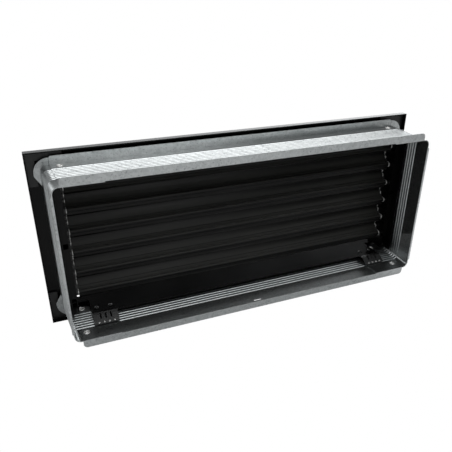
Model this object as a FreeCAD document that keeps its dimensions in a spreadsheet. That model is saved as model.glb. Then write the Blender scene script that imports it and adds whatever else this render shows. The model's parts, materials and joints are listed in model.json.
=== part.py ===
"""Air grille in its mounting subframe, as a parametric document.

Frame: X runs along the grille, +Y points into the duct, +Z points up. The origin is the centre of the
wall opening, in the plane of the wall. Lengths are millimetres, angles are degrees.
"""
import FreeCAD, Part
import math
import os
import Sketcher

Vector = FreeCAD.Vector

DRIVING = {
    # Subframe: the box that lines the wall opening
    "box_length": 500.0,
    "box_height": 204.0,
    "box_depth": 78.2,
    "sheet_gauge": 1.0,
    "wall_flange": 10.3,
    "ear_drop": 1.7,
    "ear_reach": 7.3,
    "rear_lip": 8.8,
    "side_lip": 1.8,
    "side_flare": 7.0,
    # Lengthwise ribs, rolled inwards
    "rib_start": 17.6,
    "rib_setback": 25.2,
    "rib_width": 3.6,
    "rib_slope": 1.1,
    "rib_height": 0.8,
    # Ends of the long pieces and the bent side pieces
    "seam_gap": 4.7,
    "ear_gap": 0.4,
    "end_taper": 4.7,
    "lip_round": 5.0,
    "flange_round": 3.5,
    "bend_radius": 7.5,
    "leg_length": 57.0,
    "ear_length": 13.0,
    "ear_slope_run": 13.0,
    "side_lip_cut": 14.0,
    "side_lip_slope": 1.5,
    # Hollow eyelets at the corners
    "eyelet_inset": 15.8,
    "eyelet_front": 8.0,
    "eyelet_rear_setback": 16.0,
    "eyelet_bore": 2.3,
    "eyelet_shank": 3.0,
    "eyelet_rim": 4.2,
    "eyelet_rim_height": 0.7,
    "eyelet_play": 0.05,
    # Slot in the bottom piece
    "slot_offset": 4.0,
    "slot_length": 11.0,
    "slot_width": 2.6,
    "slot_setback": 5.4,
    # Face frame of the insert
    "face_border": 27.2,
    "face_depth": 10.2,
    "face_gauge": 1.5,
    "neck_play": 2.0,
    "latch_space": 7.55,
    "neck_depth": 38.0,
    "neck_notch_start": 3.0,
    "face_round": 1.0,
    # Corner keys
    "key_leg": 42.0,
    "key_width": 10.0,
    "key_thickness": 3.0,
    "key_play": 0.1,
    # Side channels that carry the blades
    "channel_reach": 7.5,
    "channel_gauge": 1.3,
    "channel_front": 7.0,
    "channel_rear": 27.3,
    "channel_break": 7.0,
    "channel_flange_start": 3.6,
    "channel_tab": 9.0,
    "channel_slot_length": 6.0,
    "channel_slot_width": 2.4,
    "channel_slot_drop": 7.0,
    "channel_slot_inset": 3.9,
    "rivet_shank": 1.6,
    "rivet_head": 2.9,
    "rivet_head_height": 0.9,
    "rivet_setback": 4.0,
    # Blades
    "blade_top_margin": 13.5,
    "blade_bottom_margin": 23.9,
    "blade_pivot_depth": 17.6,
    "blade_tilt": 58.0,
    "top_blade_tilt": 26.0,
    "blade_chord": 23.8,
    "blade_rise": 3.45,
    "blade_gauge": 1.5,
    "blade_bead": 1.0,
    "blade_boss": 2.9,
    "blade_skirt_run": 5.5,
    "blade_skirt_drop": 3.4,
    "blade_groove_run": 7.6,
    "blade_groove": 0.55,
    "cap_boss": 3.9,
    "cap_thickness": 3.2,
    "cap_lobe": 3.2,
    "cap_lobe_near": 12.7,
    "cap_lobe_far": 19.8,
    "cap_arm": 2.6,
    "side_play": 0.3,
    "pin_radius": 1.8,
    "pin_bore": 0.9,
    "pin_play": 0.08,
    "pin_grip": 9.0,
    "pin_stand_out": 1.2,
    # Spring latches between neck and subframe
    "latch_width": 32.0,
    "latch_inset": 27.0,
    "latch_start": 12.0,
    "latch_run": 16.0,
    "latch_clear": 0.3,
    "latch_gauge": 1.2,
    "latch_arm": 26.0,
    "latch_shoulder": 5.5,
    "latch_slot_width": 2.0,
    "tooth_pitch": 6.6,
    "tooth_width": 2.4,
    "tooth_length": 1.9,
    "tooth_stand_out": 0.9,
    "tooth_setback": 0.5,
    "screw_radius": 1.4,
    "screw_head": 2.7,
    "screw_head_height": 1.2,
    "screw_spread": 18.0,
    "screw_setback": 12.0,
    "screw_end": 1.5,
}
RIB_COUNT = 7
BLADE_COUNT = 6
TOOTH_COUNT = 4
LATCH_SLOPE_GAUGE = 1.2  # upright thickness of the latch's slope, as a share of its gauge


class Size:
    """A number together with the sheet expression that it follows."""

    def __init__(self, value, text):
        self.value = float(value)
        self.text = text

    @staticmethod
    def of(thing):
        """Wrap a plain number, or return a Size as it is."""
        return thing if isinstance(thing, Size) else Size(thing, repr(float(thing)))

    def __add__(self, other):
        other = Size.of(other)
        return Size(self.value + other.value, f"({self.text} + {other.text})")

    def __sub__(self, other):
        other = Size.of(other)
        return Size(self.value - other.value, f"({self.text} - {other.text})")

    def __mul__(self, other):
        other = Size.of(other)
        return Size(self.value * other.value, f"({self.text} * {other.text})")

    def __truediv__(self, other):
        other = Size.of(other)
        return Size(self.value / other.value, f"({self.text} / {other.text})")

    def __neg__(self):
        return Size(-self.value, f"(-1 * {self.text})")

    __radd__ = __add__
    __rmul__ = __mul__

    def __rsub__(self, other):
        return Size.of(other) - self


def arc_radius(width, height):
    """Radius of an arc with this chord and this rise."""
    return (width * width / 4 + height * height) / (2 * height)


doc = FreeCAD.newDocument("air_grille")
sheet = doc.addObject("Spreadsheet::Sheet", "dims")
for row, (alias, number) in enumerate(DRIVING.items(), start=1):
    sheet.set(f"A{row}", alias)
    sheet.set(f"B{row}", str(number))
    sheet.setAlias(f"B{row}", alias)
doc.recompute()


class Dimensions:
    """The sheet's cells as sizes, by alias."""

    def __getattr__(self, alias):
        return Size(sheet.get(alias), f"dims.{alias}")


D = Dimensions()

# Sizes that follow from the driving ones
HALF_LENGTH = D.box_length / 2
HALF_HEIGHT = D.box_height / 2
LEG_OUTER = HALF_HEIGHT - D.sheet_gauge
LEG_INNER = LEG_OUTER - D.sheet_gauge
SEAM = HALF_LENGTH - D.seam_gap
END_SLOPE = D.end_taper / D.box_depth
FLARE_SLOPE = D.side_flare / D.box_depth
RIB_PITCH = (D.box_depth - D.rib_start - D.rib_setback - D.rib_width) / (RIB_COUNT - 1)
EYELET_X = HALF_LENGTH - D.eyelet_inset
EYELET_REAR = D.box_depth - D.eyelet_rear_setback
NECK_OUTER_X = HALF_LENGTH - D.sheet_gauge - D.neck_play
NECK_INNER_X = NECK_OUTER_X - D.face_gauge
NECK_OUTER_Z = LEG_INNER - D.latch_space
NECK_INNER_Z = NECK_OUTER_Z - D.face_gauge
FACE_X = NECK_INNER_X + D.face_border
FACE_Z = NECK_INNER_Z + D.face_border
BLADE_PITCH = (NECK_INNER_Z * 2 - D.blade_top_margin - D.blade_bottom_margin) / (BLADE_COUNT - 1)
WEB_INNER = NECK_INNER_X - D.channel_reach
WEB_OUTER = WEB_INNER + D.channel_gauge
LATCH_OUTER = HALF_LENGTH - D.latch_inset
LATCH_INNER = LATCH_OUTER - D.latch_width
CAP_OUTER = WEB_INNER - D.side_play
BLADE_END = CAP_OUTER - D.cap_thickness
BLADE_ARC = arc_radius(D.blade_chord, D.blade_rise)
LATCH_FLOOR = LEG_INNER - D.rib_height - D.latch_clear


def pivot_height(index):
    """Height of a blade's pivot, counted from the top."""
    return NECK_INNER_Z - D.blade_top_margin - BLADE_PITCH * index


class Piece:
    """A body with sketches on its own origin planes and features built on them."""

    def __init__(self, name):
        self.name = name
        self.body = doc.addObject("PartDesign::Body", name)
        self.body.Label = name
        self.count = 0

    def sketch(self, role, offset=None):
        """Add a sketch on an origin plane, moved along the plane's normal by an offset."""
        self.count += 1
        sketch = self.body.newObject("Sketcher::SketchObject", f"{self.name}_sketch{self.count}")
        plane = [part for part in self.body.Origin.OriginFeatures if part.Role == role][0]
        sketch.AttachmentSupport = (plane, "")
        sketch.MapMode = "FlatFace"
        if offset is not None:
            sketch.setExpression("AttachmentOffset.Base.z", offset.text)
        return sketch

    def feature(self, kind, profile):
        """Add a feature that works on a sketch."""
        self.count += 1
        made = self.body.newObject(f"PartDesign::{kind}", f"{self.name}_{kind.lower()}{self.count}")
        if profile is not None:
            made.Profile = profile
        return made

    def pad(self, sketch, length, symmetric=False, backwards=False):
        """Extrude a sketch to one side, or to both sides alike."""
        made = self.feature("Pad", sketch)
        made.setExpression("Length", length.text)
        if symmetric:
            made.SideType = "Symmetric"
        made.Reversed = backwards
        return made

    def cut(self, sketch, length=None, backwards=False):
        """Pocket a sketch through everything both ways, or to a depth on one side."""
        made = self.feature("Pocket", sketch)
        if length is None:
            made.Type = "ThroughAll"
            made.SideType = "Symmetric"
        else:
            made.setExpression("Length", length.text)
            made.Reversed = backwards
        return made

    def fillet(self, radius, points):
        """Round the edges whose middles lie at the given points."""
        doc.recompute()
        base = self.body.Tip
        names = []
        for point in points:
            edges = base.Shape.Edges
            spans = [edge.CenterOfMass.distanceToPoint(point) for edge in edges]
            names.append(f"Edge{spans.index(min(spans)) + 1}")
        made = self.feature("Fillet", None)
        made.Base = (base, names)
        made.setExpression("Radius", radius.text)
        return made


def place_point(sketch, geometry, end, x, y):
    """Tie one end of a line or arc, or a circle's centre, to two sizes."""
    for kind, axis, size in (("DistanceX", -2, Size.of(x)), ("DistanceY", -1, Size.of(y))):
        if size.value == 0.0:
            sketch.addConstraint(Sketcher.Constraint("PointOnObject", geometry, end, axis))
        else:
            made = sketch.addConstraint(Sketcher.Constraint(kind, -1, 1, geometry, end, size.value))
            sketch.setExpression(f"Constraints[{made}]", size.text)


def add_stroke(sketch, start, finish, corner):
    """Add the line or arc that reaches a corner, and return its index and its two ends in walking order."""
    if len(corner) == 2:
        return sketch.addGeometry(Part.LineSegment(start, finish), False), 1, 2
    radius, side = corner[2], corner[3]
    chord = finish - start
    reach = math.sqrt(max(radius.value ** 2 - chord.Length ** 2 / 4, 0.0))
    centre = (start + finish) * 0.5 - Vector(-chord.y, chord.x, 0).normalize() * (side * reach)
    angles = [math.atan2(point.y - centre.y, point.x - centre.x) for point in (start, finish)]
    low, high = angles if side == -1 else reversed(angles)
    if high < low:
        high += 2 * math.pi
    circle = Part.Circle(centre, Vector(0, 0, 1), radius.value)
    made = sketch.addGeometry(Part.ArcOfCircle(circle, low, high), False)
    bound = sketch.addConstraint(Sketcher.Constraint("Radius", made, radius.value))
    sketch.setExpression(f"Constraints[{bound}]", radius.text)
    return (made, 1, 2) if side == -1 else (made, 2, 1)


def corner_points(corners):
    """Positions of the corners in the sketch."""
    return [Vector(Size.of(corner[0]).value, Size.of(corner[1]).value, 0) for corner in corners]


def draw_outline(sketch, corners):
    """Draw a closed outline in a sketch.

    Each corner is (x, y), reached by a straight line from the one before, or (x, y, radius, side), reached
    by an arc that bulges to the left of the way there when side is 1 and to the right when it is -1.
    """
    points = corner_points(corners)
    strokes = [add_stroke(sketch, points[index - 1], points[index], corner)
               for index, corner in enumerate(corners)]
    for index, corner in enumerate(corners):
        made, first, last = strokes[index]
        following = strokes[(index + 1) % len(strokes)]
        sketch.addConstraint(Sketcher.Constraint("Coincident", made, last, following[0], following[1]))
        place_point(sketch, following[0], following[1], corner[0], corner[1])


def draw_path(sketch, corners):
    """Draw an open path in a sketch, with corners in the form that draw_outline takes."""
    points = corner_points(corners)
    strokes = [add_stroke(sketch, points[index - 1], points[index], corners[index])
               for index in range(1, len(corners))]
    place_point(sketch, strokes[0][0], strokes[0][1], corners[0][0], corners[0][1])
    for index, (made, first, last) in enumerate(strokes):
        place_point(sketch, made, last, corners[index + 1][0], corners[index + 1][1])
        if index + 1 < len(strokes):
            following = strokes[index + 1]
            sketch.addConstraint(Sketcher.Constraint("Coincident", made, last, following[0], following[1]))


def draw_circle(sketch, x, y, radius):
    """Draw a circle whose centre and radius follow sizes."""
    centre = Vector(Size.of(x).value, Size.of(y).value, 0)
    made = sketch.addGeometry(Part.Circle(centre, Vector(0, 0, 1), radius.value), False)
    place_point(sketch, made, 3, x, y)
    bound = sketch.addConstraint(Sketcher.Constraint("Radius", made, radius.value))
    sketch.setExpression(f"Constraints[{bound}]", radius.text)


def draw_box(sketch, x0, y0, x1, y1):
    """Draw a rectangle between two opposite corners."""
    draw_outline(sketch, [(x0, y0), (x1, y0), (x1, y1), (x0, y1)])


def rib_run(level, side, forwards=False):
    """Corners along one ribbed face at a height, in order towards the rear, or towards the front."""
    corners = []
    crest = level - D.rib_height * side
    for index in range(RIB_COUNT):
        near = D.rib_start + RIB_PITCH * index
        far = near + D.rib_width
        corners += [(near, level), (near + D.rib_slope, crest), (far - D.rib_slope, crest), (far, level)]
    return corners[::-1] if forwards else corners


def long_piece(name, side):
    """Top (side 1) or bottom (side -1) profile of the subframe."""
    piece = Piece(name)
    outer, inner = HALF_HEIGHT * side, LEG_OUTER * side
    section = [(-D.sheet_gauge, inner)]
    section += rib_run(inner, side)
    section += [(D.box_depth, inner), (D.box_depth, (HALF_HEIGHT + D.rear_lip) * side)]
    section += [(D.box_depth - D.sheet_gauge, (HALF_HEIGHT + D.rear_lip) * side)]
    section += [(D.box_depth - D.sheet_gauge, outer)]
    section += rib_run(outer, side, forwards=True)
    section += [(0, outer), (0, (HALF_HEIGHT + D.wall_flange) * side)]
    section += [(-D.sheet_gauge, (HALF_HEIGHT + D.wall_flange) * side)]
    sketch = piece.sketch("YZ_Plane")
    draw_outline(sketch, section)
    piece.pad(sketch, SEAM * 2, symmetric=True)

    trim = piece.sketch("XY_Plane")
    for end in (1, -1):
        near, past = D.sheet_gauge + 1, D.box_depth + 1
        draw_outline(trim, [((SEAM + END_SLOPE * near) * end, -near), ((SEAM - END_SLOPE * past) * end, past),
                            ((SEAM + 1) * end, past), ((SEAM + 1) * end, -near)])
    piece.cut(trim)

    holes = piece.sketch("XY_Plane")
    for end in (1, -1):
        for depth in (D.eyelet_front, EYELET_REAR):
            draw_circle(holes, EYELET_X * end, depth, D.eyelet_shank + D.eyelet_play)
    if side == -1:
        middle = D.slot_offset
        rear = D.box_depth - D.slot_setback
        draw_box(holes, middle - D.slot_length / 2, rear, middle + D.slot_length / 2, rear + D.slot_width)
    piece.cut(holes)

    lip_z = ((HALF_HEIGHT + D.rear_lip) * side).value
    lip_y = (D.box_depth - D.sheet_gauge / 2).value
    flange_z = ((HALF_HEIGHT + D.wall_flange) * side).value
    flange_y = (-D.sheet_gauge / 2).value
    lip_x = (SEAM - END_SLOPE * D.box_depth).value
    piece.fillet(D.lip_round, [Vector(lip_x * end, lip_y, lip_z) for end in (1, -1)])
    piece.fillet(D.flange_round, [Vector(SEAM.value * end, flange_y, flange_z) for end in (1, -1)])
    return piece


def side_blank(name, side):
    """Ribbed side at +X (side 1) or -X (side -1), bent to a U by a sweep, before its walls are flared."""
    piece = Piece(name)
    middle_x = HALF_LENGTH - D.sheet_gauge / 2
    middle_z = LEG_OUTER - D.sheet_gauge / 2
    leg_end = HALF_LENGTH - D.leg_length - D.side_flare
    bend_x, bend_z = middle_x - D.bend_radius, middle_z - D.bend_radius
    path = piece.sketch("XZ_Plane")
    draw_path(path, [(leg_end * side, middle_z), (bend_x * side, middle_z),
                     (middle_x * side, bend_z, D.bend_radius, side), (middle_x * side, -bend_z),
                     (bend_x * side, -middle_z, D.bend_radius, side), (leg_end * side, -middle_z)])
    section = [(-D.sheet_gauge, LEG_INNER)] + rib_run(LEG_INNER, 1)
    section += [(D.box_depth, LEG_INNER), (D.box_depth, LEG_OUTER)]
    section += rib_run(LEG_OUTER, 1, forwards=True) + [(-D.sheet_gauge, LEG_OUTER)]
    profile = piece.sketch("YZ_Plane", leg_end * side)
    draw_outline(profile, section)
    sweep = piece.feature("AdditivePipe", profile)
    sweep.Spine = (path, [])
    sweep.Mode = "Standard"

    ears = piece.sketch("XZ_Plane")
    seam = SEAM + D.ear_gap - D.side_flare
    reach_x = HALF_LENGTH + D.ear_reach
    top = HALF_HEIGHT + D.wall_flange - D.ear_drop
    ear_radius = reach_x - seam
    for end in (1, -1):
        turn = side * end
        draw_outline(ears, [(bend_x * side, middle_z * end, D.bend_radius, -turn),
                            (seam * side, middle_z * end), (seam * side, top * end),
                            (reach_x * side, (top - ear_radius) * end, ear_radius, turn),
                            (reach_x * side, (HALF_HEIGHT - D.ear_length) * end),
                            (middle_x * side, (HALF_HEIGHT - D.ear_length - D.ear_slope_run) * end),
                            (middle_x * side, bend_z * end)])
    piece.pad(ears, D.sheet_gauge)

    lip = piece.sketch("XZ_Plane", -(D.box_depth - D.sheet_gauge))
    straight = HALF_HEIGHT - D.side_lip_cut
    draw_outline(lip, [(middle_x * side, straight + D.side_lip_slope),
                       ((HALF_LENGTH + D.side_lip) * side, straight),
                       ((HALF_LENGTH + D.side_lip) * side, -straight),
                       (middle_x * side, -(straight + D.side_lip_slope))])
    piece.pad(lip, D.sheet_gauge, backwards=True)
    return piece


def side_piece(name, side):
    """Side of the subframe: its wall flares towards the front, its legs are trimmed and bored."""
    blank = side_blank(f"{name}_blank", side).body
    doc.recompute()
    shear = FreeCAD.Matrix()
    shear.A12 = (FLARE_SLOPE * -side).value
    shear.A14 = (D.side_flare * side).value
    flared = blank.Shape.transformGeometry(shear)
    leg_end = (HALF_LENGTH - D.leg_length).value
    height = (HALF_HEIGHT * 2).value
    before = (D.sheet_gauge * 2).value
    corner = Vector(0 if side == 1 else -leg_end, -before, -height / 2)
    cutters = [Part.makeBox(leg_end, D.box_depth.value + before * 2, height, corner)]
    for depth in (D.eyelet_front, EYELET_REAR):
        base = Vector((EYELET_X * side).value, depth.value, -height / 2)
        cutters.append(Part.makeCylinder((D.eyelet_shank + D.eyelet_play).value, height, base))
    return group(name, flared.cut(cutters).Solids)


def face_rail(name, side):
    """Top or bottom profile of the face frame: pan edge, face and neck, mitred at both ends."""
    piece = Piece(name)
    gauge = D.face_gauge
    sketch = piece.sketch("YZ_Plane")
    draw_outline(sketch, [(0, FACE_Z * side), (-D.face_depth, FACE_Z * side),
                          (-D.face_depth, NECK_INNER_Z * side), (D.neck_depth, NECK_INNER_Z * side),
                          (D.neck_depth, NECK_OUTER_Z * side), (gauge - D.face_depth, NECK_OUTER_Z * side),
                          (gauge - D.face_depth, (FACE_Z - gauge) * side), (0, (FACE_Z - gauge) * side)])
    piece.pad(sketch, FACE_X * 2, symmetric=True)
    front = (-D.face_depth).value
    piece.fillet(D.face_round, [Vector(0, front, (FACE_Z * side).value),
                                Vector(0, front, (NECK_INNER_Z * side).value)])
    mitre = piece.sketch("XZ_Plane")
    for end in (1, -1):
        draw_outline(mitre, [((FACE_X + 1) * end, (FACE_Z + 1) * side),
                             ((NECK_INNER_X - 1) * end, (NECK_INNER_Z - 1) * side),
                             ((FACE_X + 1) * end, (NECK_INNER_Z - 1) * side)])
    piece.cut(mitre)
    notch = piece.sketch("XY_Plane")
    for end in (1, -1):
        draw_box(notch, LATCH_OUTER * end, D.neck_notch_start,
                 (NECK_OUTER_X + 1) * end, D.neck_depth + 1)
    piece.cut(notch)
    holes = piece.sketch("XY_Plane")
    for end in (1, -1):
        for x in screw_places(end):
            draw_circle(holes, x, D.neck_depth - D.screw_setback, D.screw_radius)
        draw_circle(holes, RIVET_X * end, RIVET_Y, D.rivet_shank)
    piece.cut(holes, NECK_OUTER_Z + 1, backwards=side == 1)
    return piece


def face_stile(name, side):
    """Left or right profile of the face frame."""
    piece = Piece(name)
    gauge = D.face_gauge
    sketch = piece.sketch("XY_Plane")
    draw_outline(sketch, [(FACE_X * side, 0), (FACE_X * side, -D.face_depth),
                          (NECK_INNER_X * side, -D.face_depth), (NECK_INNER_X * side, D.neck_depth),
                          (NECK_OUTER_X * side, D.neck_depth), (NECK_OUTER_X * side, gauge - D.face_depth),
                          ((FACE_X - gauge) * side, gauge - D.face_depth), ((FACE_X - gauge) * side, 0)])
    piece.pad(sketch, FACE_Z * 2, symmetric=True)
    front = (-D.face_depth).value
    piece.fillet(D.face_round, [Vector((FACE_X * side).value, front, 0),
                                Vector((NECK_INNER_X * side).value, front, 0)])
    mitre = piece.sketch("XZ_Plane")
    for end in (1, -1):
        draw_outline(mitre, [((FACE_X + 1) * side, (FACE_Z + 1) * end),
                             ((NECK_INNER_X - 1) * side, (NECK_INNER_Z - 1) * end),
                             ((NECK_INNER_X - 1) * side, (FACE_Z + 1) * end)])
    piece.cut(mitre)
    return piece


RIVET_X = WEB_OUTER + (NECK_INNER_X - WEB_OUTER) / 2
RIVET_Y = D.neck_notch_start - D.rivet_setback


def screw_places(end):
    """X of the two screws of the latch on one side."""
    middle = LATCH_OUTER - D.latch_width / 2
    return ((middle - D.screw_spread / 2) * end, (middle + D.screw_spread / 2) * end)


def side_channel(name, side):
    """Channel that carries the blade pivots, with a closed flange in front and a broken one behind."""
    piece = Piece(name)
    gauge = D.channel_gauge
    top = NECK_INNER_Z
    sketch = piece.sketch("XY_Plane")
    draw_outline(sketch, [(NECK_INNER_X * side, -D.channel_front),
                          (NECK_INNER_X * side, gauge - D.channel_front),
                          (WEB_OUTER * side, gauge - D.channel_front),
                          (WEB_OUTER * side, D.channel_rear - gauge),
                          (NECK_INNER_X * side, D.channel_rear - gauge),
                          (NECK_INNER_X * side, D.channel_rear), (WEB_INNER * side, D.channel_rear),
                          (WEB_INNER * side, -D.channel_front)])
    piece.pad(sketch, top * 2, symmetric=True)

    lowest = pivot_height(BLADE_COUNT - 1) - D.channel_flange_start
    highest = pivot_height(0) + D.channel_flange_start
    gaps = piece.sketch("XZ_Plane", -D.channel_rear)
    reach = NECK_INNER_X + 1
    middle, broken = (lowest + highest) / 2, D.channel_break / 2
    for low, high in ((-(top + 1), lowest), (middle - broken, middle + broken), (highest, top + 1)):
        draw_box(gaps, WEB_OUTER * side, low, reach * side, high)
    piece.cut(gaps, gauge, backwards=True)

    tabs = piece.sketch("XZ_Plane", D.channel_front)
    for end in (1, -1):
        draw_box(tabs, (WEB_OUTER - gauge / 2) * side, (top - gauge) * end, NECK_INNER_X * side, top * end)
    piece.pad(tabs, D.channel_tab, backwards=True)

    bearings = piece.sketch("YZ_Plane")
    for index in range(BLADE_COUNT):
        draw_circle(bearings, D.blade_pivot_depth, pivot_height(index), D.pin_radius + D.pin_play)
    slot_y, slot_z = D.channel_rear - D.channel_slot_inset, pivot_height(0) - D.channel_slot_drop
    draw_box(bearings, slot_y - D.channel_slot_length / 2, slot_z,
             slot_y + D.channel_slot_length / 2, slot_z + D.channel_slot_width)
    piece.cut(bearings)

    rivets = piece.sketch("XY_Plane")
    draw_circle(rivets, RIVET_X * side, RIVET_Y, D.rivet_shank)
    piece.cut(rivets)
    return piece


def turn_blade_part(piece, index):
    """Put a part drawn flat about the pivot into its place, turned to the blade's tilt."""
    body = piece.body
    body.Placement = FreeCAD.Placement(Vector(0, 0, 0), FreeCAD.Rotation(Vector(1, 0, 0), -1))
    body.setExpression("Placement.Base.y", D.blade_pivot_depth.text)
    body.setExpression("Placement.Base.z", pivot_height(index).text)
    tilt = D.blade_tilt if index else D.top_blade_tilt
    body.setExpression("Placement.Rotation.Angle", f"-{tilt.text}")


def blade_crescent(sketch, gauge):
    """Draw the blade's curved wall, of a given thickness, from its front edge back to the pivot."""
    draw_outline(sketch, [(-D.blade_chord, gauge / 2), (0, gauge / 2, BLADE_ARC, -1),
                          (0, -gauge / 2), (-D.blade_chord, -gauge / 2, BLADE_ARC, 1)])


def blade_level(run):
    """Height of the blade's middle line at a distance in front of the pivot, before the blade is turned."""
    offset = D.blade_chord / 2 - run
    rise = BLADE_ARC * BLADE_ARC - offset * offset
    return BLADE_ARC - D.blade_rise - Size(math.sqrt(rise.value), f"sqrt({rise.text})")


def blade(index):
    """Curved blade with a beaded front edge, a groove, a bored boss for the pins and a skirt below it."""
    piece = Piece(f"blade_{index + 1}")
    length = BLADE_END * 2
    wall = piece.sketch("YZ_Plane")
    blade_crescent(wall, D.blade_gauge)
    piece.pad(wall, length, symmetric=True)
    bead = piece.sketch("YZ_Plane")
    draw_circle(bead, -D.blade_chord, 0, D.blade_bead)
    piece.pad(bead, length, symmetric=True)
    boss = piece.sketch("YZ_Plane")
    draw_circle(boss, 0, 0, D.blade_boss)
    piece.pad(boss, length, symmetric=True)
    skirt = piece.sketch("YZ_Plane")
    half = D.blade_gauge / 2
    draw_outline(skirt, [(0, half), (D.blade_skirt_run, half - D.blade_skirt_drop),
                         (D.blade_skirt_run, -half - D.blade_skirt_drop), (0, -half)])
    piece.pad(skirt, length, symmetric=True)
    bore = piece.sketch("YZ_Plane")
    draw_circle(bore, 0, 0, D.pin_radius)
    piece.cut(bore)
    groove = piece.sketch("YZ_Plane")
    draw_circle(groove, -D.blade_groove_run, blade_level(D.blade_groove_run) + D.blade_gauge / 2,
                D.blade_groove)
    piece.cut(groove)
    turn_blade_part(piece, index)
    return piece


def blade_caps(index):
    """End caps: a pivot boss, an arm that follows the blade and two round plugs on it."""
    name = f"blade_{index + 1}_caps"
    piece = Piece(f"blade_{index + 1}_cap_right")
    thickness = D.cap_thickness
    boss = piece.sketch("YZ_Plane", BLADE_END)
    draw_circle(boss, 0, 0, D.cap_boss)
    piece.pad(boss, thickness)
    arm = piece.sketch("YZ_Plane", BLADE_END)
    blade_crescent(arm, D.cap_arm)
    piece.pad(arm, thickness)
    for run in (D.cap_lobe_near, D.cap_lobe_far):
        lobe = piece.sketch("YZ_Plane", BLADE_END)
        draw_circle(lobe, -run, blade_level(run), D.cap_lobe)
        piece.pad(lobe, thickness)
    bore = piece.sketch("YZ_Plane")
    draw_circle(bore, 0, 0, D.pin_radius)
    piece.cut(bore)
    turn_blade_part(piece, index)
    return mirrored_pair(name, piece.body)


def blade_pins(index):
    """Hollow pivot pins, gripped by the blade's boss and turning in the channel's hole."""
    piece = Piece(f"blade_{index + 1}_pin_right")
    start = BLADE_END - D.pin_grip
    ring = piece.sketch("YZ_Plane", start)
    draw_circle(ring, 0, 0, D.pin_radius)
    draw_circle(ring, 0, 0, D.pin_bore)
    piece.pad(ring, WEB_OUTER + D.pin_stand_out - start)
    turn_blade_part(piece, index)
    return mirrored_pair(f"blade_{index + 1}_pins", piece.body)


def mirrored_pair(name, source):
    """A part and its mirror image about the middle plane, as one node of two solids."""
    image = doc.addObject("Part::Mirroring", f"{name}_image")
    image.Source = source
    image.Normal = Vector(1, 0, 0)
    pair = doc.addObject("Part::Compound", name)
    pair.Links = [source, image]
    pair.Label = name
    return pair


def latch(name, end, side):
    """Spring latch: a strip bent over the neck's rear edge, down a slotted slope and back along the ribs."""
    piece = Piece(name)
    gauge = D.latch_gauge
    knee = D.neck_depth + D.latch_shoulder
    rear = D.neck_depth + D.latch_run
    tip_z = LATCH_FLOOR - gauge
    slant = (rear - knee) / (tip_z - NECK_INNER_Z)
    upright = gauge * LATCH_SLOPE_GAUGE
    sketch = piece.sketch("YZ_Plane", LATCH_INNER * end)
    draw_outline(sketch, [(D.latch_start, NECK_OUTER_Z * side), (D.neck_depth, NECK_OUTER_Z * side),
                          (D.neck_depth, NECK_INNER_Z * side), (knee, NECK_INNER_Z * side),
                          (rear, tip_z * side), (rear, LATCH_FLOOR * side),
                          (rear - D.latch_arm, LATCH_FLOOR * side), (rear - D.latch_arm, tip_z * side),
                          (knee + slant * (tip_z - NECK_INNER_Z - upright), tip_z * side),
                          (knee - slant * (upright - gauge), (NECK_INNER_Z + gauge) * side),
                          (D.neck_depth + gauge, (NECK_INNER_Z + gauge) * side),
                          (D.neck_depth + gauge, (NECK_OUTER_Z + gauge) * side),
                          (D.latch_start, (NECK_OUTER_Z + gauge) * side)])
    piece.pad(sketch, D.latch_width, backwards=end == -1)
    slots = piece.sketch("XY_Plane", NECK_INNER_Z * side)
    middle = LATCH_INNER + D.latch_width / 2
    for index in range(TOOTH_COUNT - 1):
        x = middle + D.tooth_pitch * (index - (TOOTH_COUNT - 2) / 2)
        draw_box(slots, (x - D.latch_slot_width / 2) * end, D.neck_depth + D.latch_shoulder / 2,
                 (x + D.latch_slot_width / 2) * end, rear - D.tooth_length)
    piece.cut(slots, (tip_z - NECK_INNER_Z) / 2, backwards=side == 1)
    holes = piece.sketch("XY_Plane")
    for x in screw_places(end):
        draw_circle(holes, x, D.neck_depth - D.screw_setback, D.screw_radius)
    piece.cut(holes)
    return piece


def group(name, solids):
    """One node of several separate solids."""
    made = doc.addObject("Part::Feature", name)
    made.Label = name
    made.Shape = Part.makeCompound(solids)
    return made


def eyelet(x, y, side):
    """Hollow eyelet through both sheets, with a rim on each side."""
    inner, outer = LEG_INNER.value, HALF_HEIGHT.value
    low, high = inner - D.eyelet_rim_height.value, outer + D.eyelet_rim_height.value
    bore, shank, rim = D.eyelet_bore.value, D.eyelet_shank.value, D.eyelet_rim.value
    outline = [(bore, low), (rim, low), (rim, inner), (shank, inner), (shank, outer), (rim, outer),
               (rim, high), (bore, high)]
    points = [Vector(radius, 0, height * side) for radius, height in outline]
    section = Part.Face(Part.makePolygon(points + points[:1]))
    solid = section.revolve(Vector(0, 0, 0), Vector(0, 0, 1), 360)
    solid.translate(Vector(x, y, 0))
    return solid


def eyelets(name, depth):
    """The four eyelets at one depth."""
    x = EYELET_X.value
    return group(name, [eyelet(x * end, depth.value, side) for end in (1, -1) for side in (1, -1)])


def corner_keys():
    """Angle brackets that join the pan's mitred corners from inside."""
    solids = []
    play = D.key_play.value
    outer_x = (FACE_X - D.face_gauge).value - play
    outer_z = (FACE_Z - D.face_gauge).value - play
    leg, width, thick = D.key_leg.value, D.key_width.value, D.key_thickness.value
    start = (D.face_gauge - D.face_depth).value
    for end in (1, -1):
        for side in (1, -1):
            corners = [(outer_x, outer_z), (outer_x - leg, outer_z), (outer_x - leg, outer_z - width),
                       (outer_x - width, outer_z - width), (outer_x - width, outer_z - leg),
                       (outer_x, outer_z - leg)]
            points = [Vector(x * end, start, z * side) for x, z in corners]
            face = Part.Face(Part.makePolygon(points + points[:1]))
            solids.append(face.extrude(Vector(0, thick, 0)))
    return group("corner_keys", solids)


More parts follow.
